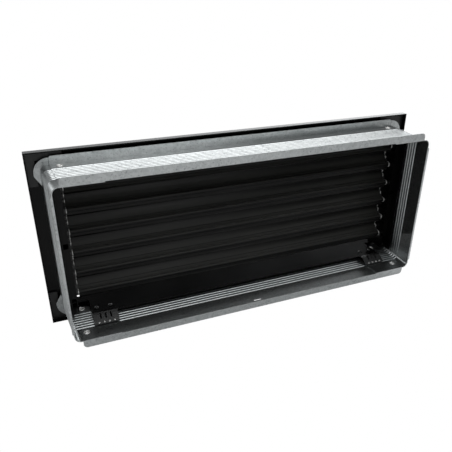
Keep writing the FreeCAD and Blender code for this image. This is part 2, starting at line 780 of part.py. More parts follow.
def headed_pin(base, direction, shank, length, head, head_height):
    """Round shank from a base point, with a flat round head behind the base."""
    body = Part.makeCylinder(shank, length, base, direction)
    return body.fuse(Part.makeCylinder(head, head_height, base - direction * head_height, direction))


def channel_rivets():
    """Rivets through the neck and the channel's end tabs."""
    solids = []
    length = (D.face_gauge + D.channel_gauge + D.rivet_head_height).value
    for end in (1, -1):
        for side in (1, -1):
            base = Vector((RIVET_X * end).value, RIVET_Y.value, (NECK_OUTER_Z * side).value)
            solids.append(headed_pin(base, Vector(0, 0, -side), D.rivet_shank.value, length,
                                     D.rivet_head.value, D.rivet_head_height.value))
    return group("channel_rivets", solids)


def latch_screws():
    """Two screws from inside the neck into each latch."""
    solids = []
    length = (D.face_gauge + D.latch_gauge + D.screw_end).value
    y = (D.neck_depth - D.screw_setback).value
    for end in (1, -1):
        for side in (1, -1):
            for x in screw_places(end):
                base = Vector(x.value, y, (NECK_INNER_Z * side).value)
                solids.append(headed_pin(base, Vector(0, 0, side), D.screw_radius.value, length,
                                         D.screw_head.value, D.screw_head_height.value))
    return group("latch_screws", solids)


def latch_teeth():
    """Steel barbs in a row near the foot of each latch's slope."""
    solids = []
    knee_y, knee_z = (D.neck_depth + D.latch_shoulder).value, NECK_INNER_Z.value
    foot_y, foot_z = (D.neck_depth + D.latch_run).value, (LATCH_FLOOR - D.latch_gauge).value
    middle = (LATCH_INNER + D.latch_width / 2).value
    width = D.tooth_width.value
    slope = Vector(0, foot_y - knee_y, foot_z - knee_z).normalize()
    out = Vector(0, slope.z, -slope.y)
    foot = Vector(0, foot_y, foot_z) - slope * D.tooth_setback.value
    corners = [foot, foot - slope * D.tooth_length.value, foot + out * D.tooth_stand_out.value]
    for end in (1, -1):
        for side in (1, -1):
            for index in range(TOOTH_COUNT):
                x = (middle + D.tooth_pitch.value * (index - (TOOTH_COUNT - 1) / 2)) * end - width / 2
                points = [Vector(x, corner.y, corner.z * side) for corner in corners]
                face = Part.Face(Part.makePolygon(points + points[:1]))
                solids.append(face.extrude(Vector(width, 0, 0)))
    return group("latch_teeth", solids)


nodes = []
for name, side in (("subframe_top", 1), ("subframe_bottom", -1)):
    nodes.append(long_piece(name, side).body)
for name, side in (("subframe_left", 1), ("subframe_right", -1)):
    nodes.append(side_piece(name, side))
nodes.append(eyelets("front_eyelets", D.eyelet_front))
nodes.append(eyelets("rear_eyelets", EYELET_REAR))
for name, side in (("face_top", 1), ("face_bottom", -1)):
    nodes.append(face_rail(name, side).body)
for name, side in (("face_left", 1), ("face_right", -1)):
    nodes.append(face_stile(name, side).body)
nodes.append(corner_keys())
for name, side in (("side_channel_left", 1), ("side_channel_right", -1)):
    nodes.append(side_channel(name, side).body)
nodes.append(channel_rivets())
for index in range(BLADE_COUNT):
    nodes.append(blade(index).body)
    nodes.append(blade_caps(index))
    nodes.append(blade_pins(index))
for level, side in (("top", 1), ("bottom", -1)):
    for hand, end in (("left", 1), ("right", -1)):
        nodes.append(latch(f"latch_{level}_{hand}", end, side).body)
nodes.append(latch_screws())
nodes.append(latch_teeth())
doc.recompute()

for item in doc.Objects:
    if "Invalid" in item.State or "Error" in item.State:
        raise RuntimeError(f"{item.Name} failed: {item.State}")
os.makedirs("parts", exist_ok=True)
for node in nodes:
    shape = node.Shape
    if shape.isNull() or not shape.isValid() or not shape.Solids:
        raise RuntimeError(f"{node.Label} has no sound shape")
    shape.exportStep(f"parts/{node.Label}.step")
    print(f"{node.Label:22s} solids {len(shape.Solids)} faces {len(shape.Faces):3d} "
          f"volume {shape.Volume:10.1f}")
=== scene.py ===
"""Looks of the air grille: finishes, detailed fasteners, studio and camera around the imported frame."""
import json
import logging
import math
from dataclasses import dataclass, field
from enum import Enum

import bpy
from mathutils import Matrix, Vector


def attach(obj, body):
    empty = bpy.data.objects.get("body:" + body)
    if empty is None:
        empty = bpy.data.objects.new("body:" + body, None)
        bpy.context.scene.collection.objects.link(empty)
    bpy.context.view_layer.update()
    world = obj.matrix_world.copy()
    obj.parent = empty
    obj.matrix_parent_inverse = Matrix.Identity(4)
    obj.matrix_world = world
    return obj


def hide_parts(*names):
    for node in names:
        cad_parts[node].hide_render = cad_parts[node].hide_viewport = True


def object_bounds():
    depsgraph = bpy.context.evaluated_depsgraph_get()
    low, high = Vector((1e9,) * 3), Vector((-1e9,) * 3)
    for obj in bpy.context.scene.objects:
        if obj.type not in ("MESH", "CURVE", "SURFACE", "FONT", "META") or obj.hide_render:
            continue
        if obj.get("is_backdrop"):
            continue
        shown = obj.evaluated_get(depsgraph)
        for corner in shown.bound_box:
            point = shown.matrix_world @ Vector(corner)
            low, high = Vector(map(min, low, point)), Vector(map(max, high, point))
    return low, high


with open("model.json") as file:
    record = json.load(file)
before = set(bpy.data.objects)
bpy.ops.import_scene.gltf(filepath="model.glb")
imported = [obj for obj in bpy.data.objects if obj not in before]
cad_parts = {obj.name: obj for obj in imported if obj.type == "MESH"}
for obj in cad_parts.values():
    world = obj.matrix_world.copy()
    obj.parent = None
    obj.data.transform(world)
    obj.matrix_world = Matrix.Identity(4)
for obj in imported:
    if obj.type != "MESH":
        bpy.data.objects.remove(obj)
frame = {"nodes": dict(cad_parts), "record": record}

LOG = logging.getLogger("air_grille")
MM = 0.001
FLOOR_GAP = 0.2 * MM
BALL_SEGMENTS = 28
BALL_RINGS = 14
ROD_SIDES = 24
EYELET_SIDES = 40
TUBE_SIDES = 14
CAP_RING_SIDES = 32
BLADES = 6
# Most values of a noise lie in this range.
NOISE_RANGE = (0.3, 0.7)

Colour = tuple[float, float, float]
Limits = tuple[float, float]
Node = bpy.types.Node
Socket = bpy.types.NodeSocket


class Slot(Enum):
    """Finishes that the record names for the pieces."""

    GALVANISED = "galvanised"
    ZINC = "zinc"
    BRIGHT_STEEL = "bright_steel"
    BLACK_COAT = "black_coat"
    BLADE_COAT = "blade_coat"
    BLACK_STEEL = "black_steel"
    BLACK_NYLON = "black_nylon"


@dataclass
class Graph:
    """A node tree that is being wired.

    Args:
        tree: the node tree that takes the nodes.
    """

    tree: bpy.types.NodeTree

    def feed(self, socket: Socket, value: object) -> None:
        """Give an input what it takes.

        Args:
            socket: the input.
            value: a socket to link to it, or the input's own value.
        """
        if isinstance(value, bpy.types.NodeSocket):
            self.tree.links.new(value, socket)
        else:
            socket.default_value = value

    def node(self, kind: str, inputs: dict | None = None, **settings: object) -> Node:
        """Add a node.

        Args:
            kind: the node's type.
            inputs: values or sockets by the name or number of the input.
            settings: the node's own options.

        Returns:
            The new node.
        """
        made = self.tree.nodes.new(kind)
        for key, value in settings.items():
            setattr(made, key, value)
        for key, value in (inputs or {}).items():
            self.feed(made.inputs[key], value)
        return made

    def sum(self, operation: str, first: object, second: object, clamp: bool = False) -> Socket:
        """Work out one number from two.

        Args:
            operation: the math node's operation.
            first: the first number or socket.
            second: the second number or socket.
            clamp: keep the result between 0 and 1.

        Returns:
            The socket with the result.
        """
        made = self.node("ShaderNodeMath", {0: first, 1: second}, operation=operation, use_clamp=clamp)
        return made.outputs[0]

    def times(self, first: object, second: object, clamp: bool = False) -> Socket:
        """Multiply two numbers or sockets."""
        return self.sum("MULTIPLY", first, second, clamp)

    def per_metre(self, size: object) -> Socket:
        """Work out how often a size fits in a metre."""
        return self.sum("DIVIDE", 1.0, size)

    def noise(self, place: Socket, scale: object, detail: float) -> Node:
        """Add a noise texture that follows the coordinates of a place."""
        return self.node("ShaderNodeTexNoise", {"Vector": place, "Scale": scale, "Detail": detail})

    def blend(self, factor: object, low: object, high: object) -> Socket:
        """Mix two colours.

        Args:
            factor: 0 for the first colour and 1 for the second.
            low: the first colour.
            high: the second colour.

        Returns:
            The socket with the mixed colour.
        """
        made = self.node("ShaderNodeMix", data_type="RGBA")
        self.feed(made.inputs["Factor"], factor)
        self.feed(made.inputs["A"], low)
        self.feed(made.inputs["B"], high)
        return made.outputs["Result"]

    def spread(self, value: object, low: float, high: float, to_low: float, to_high: float) -> Socket:
        """Map a range of a value to another range, clamped.

        Args:
            value: the number or socket.
            low: start of the value's range.
            high: end of the value's range.
            to_low: the result at the start.
            to_high: the result at the end.

        Returns:
            The socket with the result.
        """
        made = self.node("ShaderNodeMapRange", {"Value": value, "From Min": low, "From Max": high,
                                                "To Min": to_low, "To Max": to_high})
        return made.outputs["Result"]


class ShaderGroup:
    """A shared shader effect, built once and placed in each material with its own values."""

    name = "effect"
    sizes: dict[str, float] = {}
    results: tuple[str, ...] = ()

    def tree(self) -> bpy.types.NodeTree:
        """Build the group's tree at the first call.

        Returns:
            The group's tree.
        """
        known = bpy.data.node_groups.get(self.name)
        if known:
            return known
        made = bpy.data.node_groups.new(self.name, "ShaderNodeTree")
        made.interface.new_socket("Vector", in_out="INPUT", socket_type="NodeSocketVector")
        for label, value in self.sizes.items():
            socket = made.interface.new_socket(label, in_out="INPUT", socket_type="NodeSocketFloat")
            socket.default_value = value
        for label in self.results:
            made.interface.new_socket(label, in_out="OUTPUT", socket_type="NodeSocketFloat")
        graph = Graph(made)
        entry = graph.node("NodeGroupInput")
        leave = graph.node("NodeGroupOutput")
        self.wire(graph, entry, leave)
        return made

    def wire(self, graph: Graph, entry: Node, leave: Node) -> None:
        """Wire the effect between the group's input and output."""

    def place(self, graph: Graph, vector: Socket, **values: object) -> Node:
        """Put the group into a material.

        Args:
            graph: the material's graph.
            vector: the coordinates that the effect follows.
            values: the group's inputs, with underscores for spaces.

        Returns:
            The group node.
        """
        made = graph.node("ShaderNodeGroup", node_tree=self.tree())
        graph.feed(made.inputs["Vector"], vector)
        for key, value in values.items():
            graph.feed(made.inputs[key.replace("_", " ")], value)
        return made


class Spangle(ShaderGroup):
    """Zinc crystals: patches of slightly different tone and gloss with dark flecks between them."""

    name = "zinc_spangle"
    sizes = {"Crystal": 6 * MM, "Fleck": 2.4 * MM}
    results = ("Tone", "Fleck", "Relief")
    waver_scale = 160.0
    waver_reach = 4 * MM
    cloud_scale = 28.0
    cloud_share = 0.4
    crystal_share = 0.6
    crystal_relief = 0.5
    fleck_limits: Limits = (0.59, 0.70)

    def wire(self, graph: Graph, entry: Node, leave: Node) -> None:
        """Wire crystals with wavering borders, flecks and a faint relief.

        Args:
            graph: the group's graph.
            entry: the node with the group's inputs.
            leave: the node that takes the group's results.
        """
        where = entry.outputs["Vector"]
        waver = graph.noise(where, self.waver_scale, 3.0).outputs["Color"]
        nudge = graph.node("ShaderNodeVectorMath", {0: waver, 3: self.waver_reach}, operation="SCALE")
        shifted = graph.node("ShaderNodeVectorMath", {0: where, 1: nudge.outputs[0]}, operation="ADD")
        bent = shifted.outputs[0]
        crystal_scale = graph.per_metre(entry.outputs["Crystal"])
        crystals = graph.node("ShaderNodeTexVoronoi", {"Vector": bent, "Scale": crystal_scale})
        split = graph.node("ShaderNodeSeparateColor", {"Color": crystals.outputs["Color"]})
        clouds = graph.noise(where, self.cloud_scale, 4.0).outputs["Fac"]
        tone = graph.sum("ADD", graph.times(split.outputs["Red"], self.crystal_share),
                         graph.times(clouds, self.cloud_share))
        specks = graph.noise(bent, graph.per_metre(entry.outputs["Fleck"]), 2.0).outputs["Fac"]
        graph.feed(leave.inputs["Tone"], tone)
        graph.feed(leave.inputs["Fleck"], graph.spread(specks, *self.fleck_limits, 0.0, 1.0))
        graph.feed(leave.inputs["Relief"], graph.times(split.outputs["Green"], self.crystal_relief))


class RolledGrain(ShaderGroup):
    """Fine streaks along the length, as a rolling mill or an extrusion die leaves them."""

    name = "rolled_grain"
    sizes = {"Width": 0.8 * MM, "Length": 60 * MM}
    results = ("Streak",)

    def wire(self, graph: Graph, entry: Node, leave: Node) -> None:
        """Wire a noise that is stretched along X.

        Args:
            graph: the group's graph.
            entry: the node with the group's inputs.
            leave: the node that takes the group's results.
        """
        along = graph.per_metre(entry.outputs["Length"])
        across = graph.per_metre(entry.outputs["Width"])
        scale = graph.node("ShaderNodeCombineXYZ", {"X": along, "Y": across, "Z": across})
        stretched = graph.node("ShaderNodeVectorMath", {0: entry.outputs["Vector"], 1: scale.outputs[0]},
                               operation="MULTIPLY")
        graph.feed(leave.inputs["Streak"], graph.noise(stretched.outputs[0], 1.0, 2.0).outputs["Fac"])


class CoatPeel(ShaderGroup):
    """The faint unevenness of a baked powder coat."""

    name = "coat_peel"
    sizes = {"Grain": 0.9 * MM}
    results = ("Relief", "Cloud")
    cloud_scale = 14.0

    def wire(self, graph: Graph, entry: Node, leave: Node) -> None:
        """Wire a fine grain and broad clouds.

        Args:
            graph: the group's graph.
            entry: the node with the group's inputs.
            leave: the node that takes the group's results.
        """
        where = entry.outputs["Vector"]
        grain = graph.noise(where, graph.per_metre(entry.outputs["Grain"]), 3.0)
        clouds = graph.noise(where, self.cloud_scale, 5.0)
        graph.feed(leave.inputs["Relief"], grain.outputs["Fac"])
        graph.feed(leave.inputs["Cloud"], clouds.outputs["Fac"])


class Dust(ShaderGroup):
    """Sparse pale specks."""

    name = "dust_specks"
    sizes = {"Size": 1.6 * MM, "Amount": 0.3}
    results = ("Dust",)
    drift_scale = 40.0
    drift_limits: Limits = (0.5, 0.7)
    speck_edge: Limits = (0.05, 0.18)

    def wire(self, graph: Graph, entry: Node, leave: Node) -> None:
        """Wire specks that are thinned by a broad noise.

        Args:
            graph: the group's graph.
            entry: the node with the group's inputs.
            leave: the node that takes the group's results.
        """
        where = entry.outputs["Vector"]
        scale = graph.per_metre(entry.outputs["Size"])
        specks = graph.node("ShaderNodeTexVoronoi", {"Vector": where, "Scale": scale})
        drift = graph.noise(where, self.drift_scale, 2.0)
        near = graph.spread(specks.outputs["Distance"], *self.speck_edge, 1.0, 0.0)
        some = graph.spread(drift.outputs["Fac"], *self.drift_limits, 0.0, 1.0)
        both = graph.times(near, some)
        graph.feed(leave.inputs["Dust"], graph.times(both, entry.outputs["Amount"], clamp=True))


@dataclass(frozen=True)
class Finish:
    """A surface finish.

    Args:
        name: the material's name.
        dark: the colour of the darker patches.
        pale: the colour of the paler patches.
        metallic: how much the surface behaves like bare metal.
        smooth: roughness of the glossier patches.
        rough: roughness of the duller patches.
        relief: height of the bumps.
        specular: strength of the reflection that isn't metallic.
    """

    name: str
    dark: Colour
    pale: Colour
    metallic: float
    smooth: float
    rough: float
    relief: float
    specular: float = 0.5

    def start(self) -> tuple[Graph, bpy.types.Material, Node, Socket]:
        """Make the material with its shader.

        Returns:
            The graph, the material, the shader and the object coordinates.
        """
        material = bpy.data.materials.new(self.name)
        material.use_nodes = True
        material.diffuse_color = (*self.pale, 1.0)
        graph = Graph(material.node_tree)
        shader = material.node_tree.nodes["Principled BSDF"]
        shader.inputs["Metallic"].default_value = self.metallic
        shader.inputs["Specular IOR Level"].default_value = self.specular
        where = graph.node("ShaderNodeTexCoord").outputs["Object"]
        return graph, material, shader, where

    def close(self, graph: Graph, shader: Node, tone: object, gloss: object, height: object) -> None:
        """Wire colour, roughness and bump.

        Args:
            graph: the material's graph.
            shader: the material's shader.
            tone: 0 for the dark colour and 1 for the pale one.
            gloss: 0 for the smooth value and 1 for the rough one.
            height: height of the surface, from 0 to 1.
        """
        colour = graph.blend(tone, (*self.dark, 1.0), (*self.pale, 1.0))
        graph.feed(shader.inputs["Base Color"], colour)
        graph.feed(shader.inputs["Roughness"], graph.spread(gloss, 0.0, 1.0, self.smooth, self.rough))
        bump = graph.node("ShaderNodeBump", {"Height": height, "Strength": 1.0, "Distance": self.relief})
        graph.feed(shader.inputs["Normal"], bump.outputs["Normal"])

    def build(self) -> bpy.types.Material:
        """Return the finished material."""
        raise NotImplementedError


@dataclass(frozen=True)
class GalvanisedSheet(Finish):
    """Hot-dip galvanised sheet with small spangles and dark flecks.

    Args:
        crystal: size of a crystal.
        fleck: size of a dark fleck.
        fleck_depth: how far a fleck darkens the tone.
        grain_share: share of the rolling streaks in the tone.
        mixed_range: range of the mixed tone that is spread.
        dullest: tone of the darkest crystal without a fleck.
    """

    crystal: float = 5 * MM
    fleck: float = 2.2 * MM
    fleck_depth: float = 0.35
    grain_share: float = 0.2
    mixed_range: Limits = (0.2, 0.8)
    dullest: float = 0.7

    def build(self) -> bpy.types.Material:
        """Wire the zinc's tone, gloss and relief.

        Returns:
            The finished material.
        """
        graph, material, shader, where = self.start()
        zinc = Spangle().place(graph, where, Crystal=self.crystal, Fleck=self.fleck)
        grain = RolledGrain().place(graph, where).outputs["Streak"]
        mixed = graph.sum("ADD", graph.times(zinc.outputs["Tone"], 1.0 - self.grain_share),
                          graph.times(grain, self.grain_share))
        even = graph.spread(mixed, *self.mixed_range, self.dullest, 1.0)
        stain = graph.times(zinc.outputs["Fleck"], self.fleck_depth)
        tone = graph.sum("SUBTRACT", even, stain, clamp=True)
        gloss = graph.sum("SUBTRACT", 1.0, mixed, clamp=True)
        self.close(graph, shader, tone, gloss, zinc.outputs["Relief"])
        return material


@dataclass(frozen=True)
class PowderCoat(Finish):
    """Baked black powder coat with a fine grain and a few specks of dust.

    Args:
        dust_and_painted_light: how pale the specks are.
        cloud: how pale the clouds in the coat are.
    """

    dust_and_painted_light: float = 0.1
    cloud: float = 0.6

    def build(self) -> bpy.types.Material:
        """Wire the coat's clouds, specks and grain.

        Returns:
            The finished material.
        """
        graph, material, shader, where = self.start()
        peel = CoatPeel().place(graph, where)
        specks = Dust().place(graph, where, Amount=self.dust_and_painted_light).outputs["Dust"]
        cloud = graph.spread(peel.outputs["Cloud"], *NOISE_RANGE, 0.0, self.cloud)
        tone = graph.sum("ADD", cloud, specks, clamp=True)
        self.close(graph, shader, tone, peel.outputs["Cloud"], peel.outputs["Relief"])
        return material


@dataclass(frozen=True)
class DrawnBlade(Finish):
    """Satin black on an extrusion whose die lines run along it, paler where it faces up as painted light
    from above.

    Args:
        line_width: width of a die line.
        line_length: length of a die line.
        painted_light_slope: upward part of the surface's direction where the painted light starts and where
            it is full.
        dust_and_painted_light: how pale the full painted light is.
        cloud: how pale the clouds in the coat are.
    """

    line_width: float = 0.5 * MM
    line_length: float = 90 * MM
    painted_light_slope: Limits = (0.30, 0.55)
    dust_and_painted_light: float = 0.8
    cloud: float = 0.2

    def build(self) -> bpy.types.Material:
        """Wire the die lines, the clouds and the painted light on the upward faces.

        Returns:
            The finished material.
        """
        graph, material, shader, where = self.start()
        lines = RolledGrain().place(graph, where, Width=self.line_width, Length=self.line_length)
        grain = lines.outputs["Streak"]
        peel = CoatPeel().place(graph, where)
        # Painted light: faces that turn up get the pale colour, as if lit from above.
        facing = graph.node("ShaderNodeTexCoord").outputs["Normal"]
        upward = graph.node("ShaderNodeSeparateXYZ", {0: facing}).outputs["Z"]
        painted_top_light = graph.spread(upward, *self.painted_light_slope, 0.0, self.dust_and_painted_light)
        cloud = graph.spread(peel.outputs["Cloud"], *NOISE_RANGE, 0.0, self.cloud)
        tone = graph.sum("ADD", painted_top_light, cloud, clamp=True)
        self.close(graph, shader, tone, graph.spread(grain, *NOISE_RANGE, 0.0, 1.0), grain)
        return material


@dataclass(frozen=True)
class Moulding(Finish):
    """Moulded nylon with a faint cloud in its colour.

    Args:
        grain: size of the grain that the mould leaves.
    """

    grain: float = 0.5 * MM

    def build(self) -> bpy.types.Material:
        """Wire the moulding's clouds and grain.

        Returns:
            The finished material.
        """
        graph, material, shader, where = self.start()
        peel = CoatPeel().place(graph, where, Grain=self.grain)
        tone = graph.spread(peel.outputs["Cloud"], *NOISE_RANGE, 0.0, 1.0)
        self.close(graph, shader, tone, peel.outputs["Relief"], peel.outputs["Relief"])
        return material


FINISHES: dict[Slot, Finish] = {
    Slot.GALVANISED: GalvanisedSheet(
        "galvanised_sheet", dark=(0.16, 0.17, 0.18), pale=(0.52, 0.54, 0.54), metallic=1.0,
        smooth=0.26, rough=0.36, relief=0.002 * MM, crystal=3.0 * MM, fleck=1.9 * MM, fleck_depth=0.6),
    Slot.ZINC: GalvanisedSheet(
        "zinc_plate", dark=(0.45, 0.46, 0.46), pale=(0.78, 0.78, 0.76), metallic=0.6,
        smooth=0.26, rough=0.40, relief=0.01 * MM, crystal=1.5 * MM, fleck=0.8 * MM, fleck_depth=0.15),
    Slot.BRIGHT_STEEL: GalvanisedSheet(
        "bright_steel", dark=(0.65, 0.65, 0.64), pale=(0.92, 0.92, 0.90), metallic=0.5,
        smooth=0.20, rough=0.32, relief=0.005 * MM, crystal=1.0 * MM, fleck=0.6 * MM, fleck_depth=0.1),
    Slot.BLACK_COAT: PowderCoat(
        "black_coat", dark=(0.001, 0.001, 0.001), pale=(0.004, 0.004, 0.004), metallic=0.0,
        smooth=0.14, rough=0.24, relief=0.01 * MM, specular=0.14),
    # The blade coat's pale colour carries the painted light on upward faces and the coat's faint clouds.
    Slot.BLADE_COAT: DrawnBlade(
        "blade_coat", dark=(0.001, 0.001, 0.001), pale=(0.023, 0.023, 0.021), metallic=0.0,
        smooth=0.30, rough=0.42, relief=0.006 * MM, specular=0.16),
    Slot.BLACK_STEEL: PowderCoat(
        "black_steel", dark=(0.005, 0.005, 0.005), pale=(0.012, 0.012, 0.012), metallic=0.0,
        smooth=0.28, rough=0.45, relief=0.02 * MM, dust_and_painted_light=0.05),
    Slot.BLACK_NYLON: Moulding(
        "black_nylon", dark=(0.010, 0.010, 0.010), pale=(0.022, 0.022, 0.021), metallic=0.0,
        smooth=0.35, rough=0.55, relief=0.02 * MM),
}


@dataclass
class Wardrobe:
    """Builds each finish once and dresses the pieces of the frame."""

    def __post_init__(self) -> None:
        """Build the materials."""
        self.materials = {slot: finish.build() for slot, finish in FINISHES.items()}

    def dress_frame(self) -> None:
        """Give each node of the frame the finish of its slot."""
        for row in frame["record"]["subparts"]:
            piece = frame["nodes"][row["node"]]
            piece.data.materials.clear()
            piece.data.materials.append(self.materials[Slot(row["material_slot"])])


@dataclass
class Repeat:
    """A piece whose repeated shapes come from a geometry tree.

    Args:
        name: the piece's name.
        body: the body that it rides on.
        slot: the finish that it takes.
        stands_for: the nodes that it replaces.
    """

    name: str
    body: str
    slot: Slot
    stands_for: tuple[str, ...] = ()

    def sizes(self) -> dict[str, float]:
        """Return the tree's inputs in metres or radians, by name."""
        raise NotImplementedError

    def wire(self, graph: Graph, entry: Node) -> Socket:
        """Wire the shape from the tree's inputs and return its geometry."""
        raise NotImplementedError

    def tree(self, material: bpy.types.Material) -> bpy.types.NodeTree:
        """Build the class's tree at the first call.

        Args:
            material: what the tree's last node sets.

        Returns:
            The tree.
        """
        label = type(self).__name__
        known = bpy.data.node_groups.get(label)
        if known:
            return known
        made = bpy.data.node_groups.new(label, "GeometryNodeTree")
        made.interface.new_socket("Geometry", in_out="OUTPUT", socket_type="NodeSocketGeometry")
        for size in self.sizes():
            made.interface.new_socket(size, in_out="INPUT", socket_type="NodeSocketFloat")
        graph = Graph(made)
        shape = self.wire(graph, graph.node("NodeGroupInput"))
        real = graph.node("GeometryNodeRealizeInstances", {"Geometry": shape})
        smooth = graph.node("GeometryNodeSetShadeSmooth", {"Geometry": real.outputs[0]})
        painted = {"Geometry": smooth.outputs[0], "Material": material}
        dressed = graph.node("GeometryNodeSetMaterial", painted)
        graph.node("NodeGroupOutput", {"Geometry": dressed.outputs[0]})
        return made

    def build(self, material: bpy.types.Material) -> bpy.types.Object:
        """Turn the tree's result into a plain piece that rides on its body.

        Args:
            material: the piece's finish.

        Returns:
            The piece.
        """
        carrier = bpy.data.objects.new(self.name, bpy.data.meshes.new(self.name))
        bpy.context.scene.collection.objects.link(carrier)
        modifier = carrier.modifiers.new("shape", "NODES")
        modifier.node_group = self.tree(material)
        sockets = {item.name: item.identifier for item in modifier.node_group.interface.items_tree}
        for label, value in self.sizes().items():
            modifier[sockets[label]] = value
        evaluated = carrier.evaluated_get(bpy.context.evaluated_depsgraph_get())
        mesh = bpy.data.meshes.new_from_object(evaluated)
        carrier.modifiers.clear()
        carrier.data = mesh
        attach(carrier, self.body)
        if self.stands_for:
            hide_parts(*self.stands_for)
        LOG.info("%s: %d faces", self.name, len(mesh.polygons))
        return carrier


def moved(graph: Graph, shape: Socket, place: object = (0, 0, 0), turn: object = (0, 0, 0),
          scale: object = (1, 1, 1)) -> Socket:
    """Scale, turn and move a shape, in that order, and return it."""
    return graph.node("GeometryNodeTransform", {"Geometry": shape, "Translation": place, "Rotation": turn,
                                                "Scale": scale}).outputs[0]


def vector(graph: Graph, x: object = 0.0, y: object = 0.0, z: object = 0.0) -> Socket:
    """Join three numbers to a vector."""
    return graph.node("ShaderNodeCombineXYZ", {"X": x, "Y": y, "Z": z}).outputs[0]


def joined(graph: Graph, shapes: list[Socket]) -> Socket:
    """Join shapes to one.

    Args:
        graph: the tree's graph.
        shapes: the shapes.

    Returns:
        The joined shape.
    """
    made = graph.node("GeometryNodeJoinGeometry")
    for shape in shapes:
        graph.tree.links.new(shape, made.inputs[0])
    return made.outputs[0]


def rod(graph: Graph, radius: object, length: object, sides: int = ROD_SIDES) -> Socket:
    """Make a round rod along Z, with its middle at the origin."""
    made = graph.node("GeometryNodeMeshCylinder", {"Vertices": sides, "Radius": radius, "Depth": length})
    return made.outputs["Mesh"]


def dome(graph: Graph, radius: object, flat: object) -> Socket:
    """Make a ball that is flattened along Z.

    Args:
        graph: the tree's graph.
        radius: the ball's radius.
        flat: the ball's height as a share of its width.

    Returns:
        The flattened ball.
    """
    ball = graph.node("GeometryNodeMeshUVSphere", {"Segments": BALL_SEGMENTS, "Rings": BALL_RINGS,
                                                   "Radius": radius})
    return moved(graph, ball.outputs["Mesh"], scale=vector(graph, 1.0, 1.0, flat))


def cut(graph: Graph, shape: Socket, cutter: Socket, **settings: object) -> Socket:
    """Cut one shape out of another.

    Args:
        graph: the tree's graph.
        shape: the shape that is cut.
        cutter: what is taken out of it.
        settings: the boolean node's own options.

    Returns:
        The cut shape.
    """
    made = graph.node("GeometryNodeMeshBoolean", operation="DIFFERENCE", **settings)
    graph.feed(made.inputs["Mesh 1"], shape)
    graph.feed(made.inputs["Mesh 2"], cutter)
    return made.outputs["Mesh"]


def tube_ring(graph: Graph, radius: object, tube: object, around: int) -> Socket:
    """Make a round ring about Z.

    Args:
        graph: the tree's graph.
        radius: radius of the ring's middle line.
        tube: radius of the ring's own section.
        around: how many sides the ring has.

    Returns:
        The ring.
    """
    path = graph.node("GeometryNodeCurvePrimitiveCircle", {"Resolution": around, "Radius": radius})
    section = graph.node("GeometryNodeCurvePrimitiveCircle", {"Resolution": TUBE_SIDES, "Radius": tube})
    ring = graph.node("GeometryNodeCurveToMesh", {0: path.outputs[0], "Profile Curve": section.outputs[0]})
    return ring.outputs[0]


def in_line(graph: Graph, shape: Socket, count: int, start: object, step: object) -> Socket:
    """Put a shape at places in a line along X.

    Args:
        graph: the tree's graph.
        shape: the shape.
        count: how many places there are.
        start: the first place on X.
        step: the distance from place to place.

    Returns:
        The shapes.
    """
    line = graph.node("GeometryNodeMeshLine", {"Count": count, "Start Location": vector(graph, x=start),
                                               "Offset": vector(graph, x=step)})
    made = graph.node("GeometryNodeInstanceOnPoints", {"Points": line.outputs[0], "Instance": shape})
    return made.outputs[0]


def both_ends(graph: Graph, shape: Socket, reach: object) -> Socket:
    """Put a shape at two places on X, as far from the middle on both sides."""
    return in_line(graph, shape, 2, graph.times(reach, -1.0), graph.times(reach, 2.0))


def top_and_bottom(graph: Graph, shape: Socket) -> Socket:
    """Join a shape of the upper half with its copy that is turned half round about Y."""
    return joined(graph, [shape, moved(graph, shape, turn=(0, math.pi, 0))])


@dataclass
class RolledEyelets(Repeat):
    """Hollow eyelets with rolled rims at the four corners.

    Args:
        depth: their distance from the wall plane.
        inset_x: their distance from the middle.
        middle_z: height of the middle of the two sheets.
        rim: outer radius of the rolled rim.
        roll: radius of the roll itself.
        bore: radius of the hole.
        lift: height of the roll's middle above the middle of the sheets.
    """

    depth: float = 8.0
    inset_x: float = 234.2
    middle_z: float = 101.0
    rim: float = 4.2
    roll: float = 0.9
    bore: float = 2.35
    lift: float = 0.85

    def sizes(self) -> dict[str, float]:
        """Return the tree's inputs."""
        return {"Depth": self.depth * MM, "Inset": self.inset_x * MM, "Height": self.middle_z * MM,
                "Ring": (self.rim - self.roll) * MM, "Roll": self.roll * MM, "Bore": self.bore * MM,
                "Lift": self.lift * MM}

    def wire(self, graph: Graph, entry: Node) -> Socket:
        """Wire two rolled rims on a short barrel, four times.

        Args:
            graph: the tree's graph.
            entry: the node with the tree's inputs.

        Returns:
            The eyelets.
        """
        size = entry.outputs
        ring = tube_ring(graph, size["Ring"], size["Roll"], EYELET_SIDES)
        outer = rod(graph, size["Ring"], graph.times(size["Lift"], 2.0), EYELET_SIDES)
        inner = rod(graph, size["Bore"], graph.times(size["Lift"], 4.0), EYELET_SIDES)
        barrel = cut(graph, outer, inner)
        upper = moved(graph, ring, vector(graph, z=size["Lift"]))
        lower = moved(graph, ring, vector(graph, z=graph.times(size["Lift"], -1.0)))
        pair = both_ends(graph, joined(graph, [barrel, upper, lower]), size["Inset"])
        return top_and_bottom(graph, moved(graph, pair, vector(graph, y=size["Depth"], z=size["Height"])))


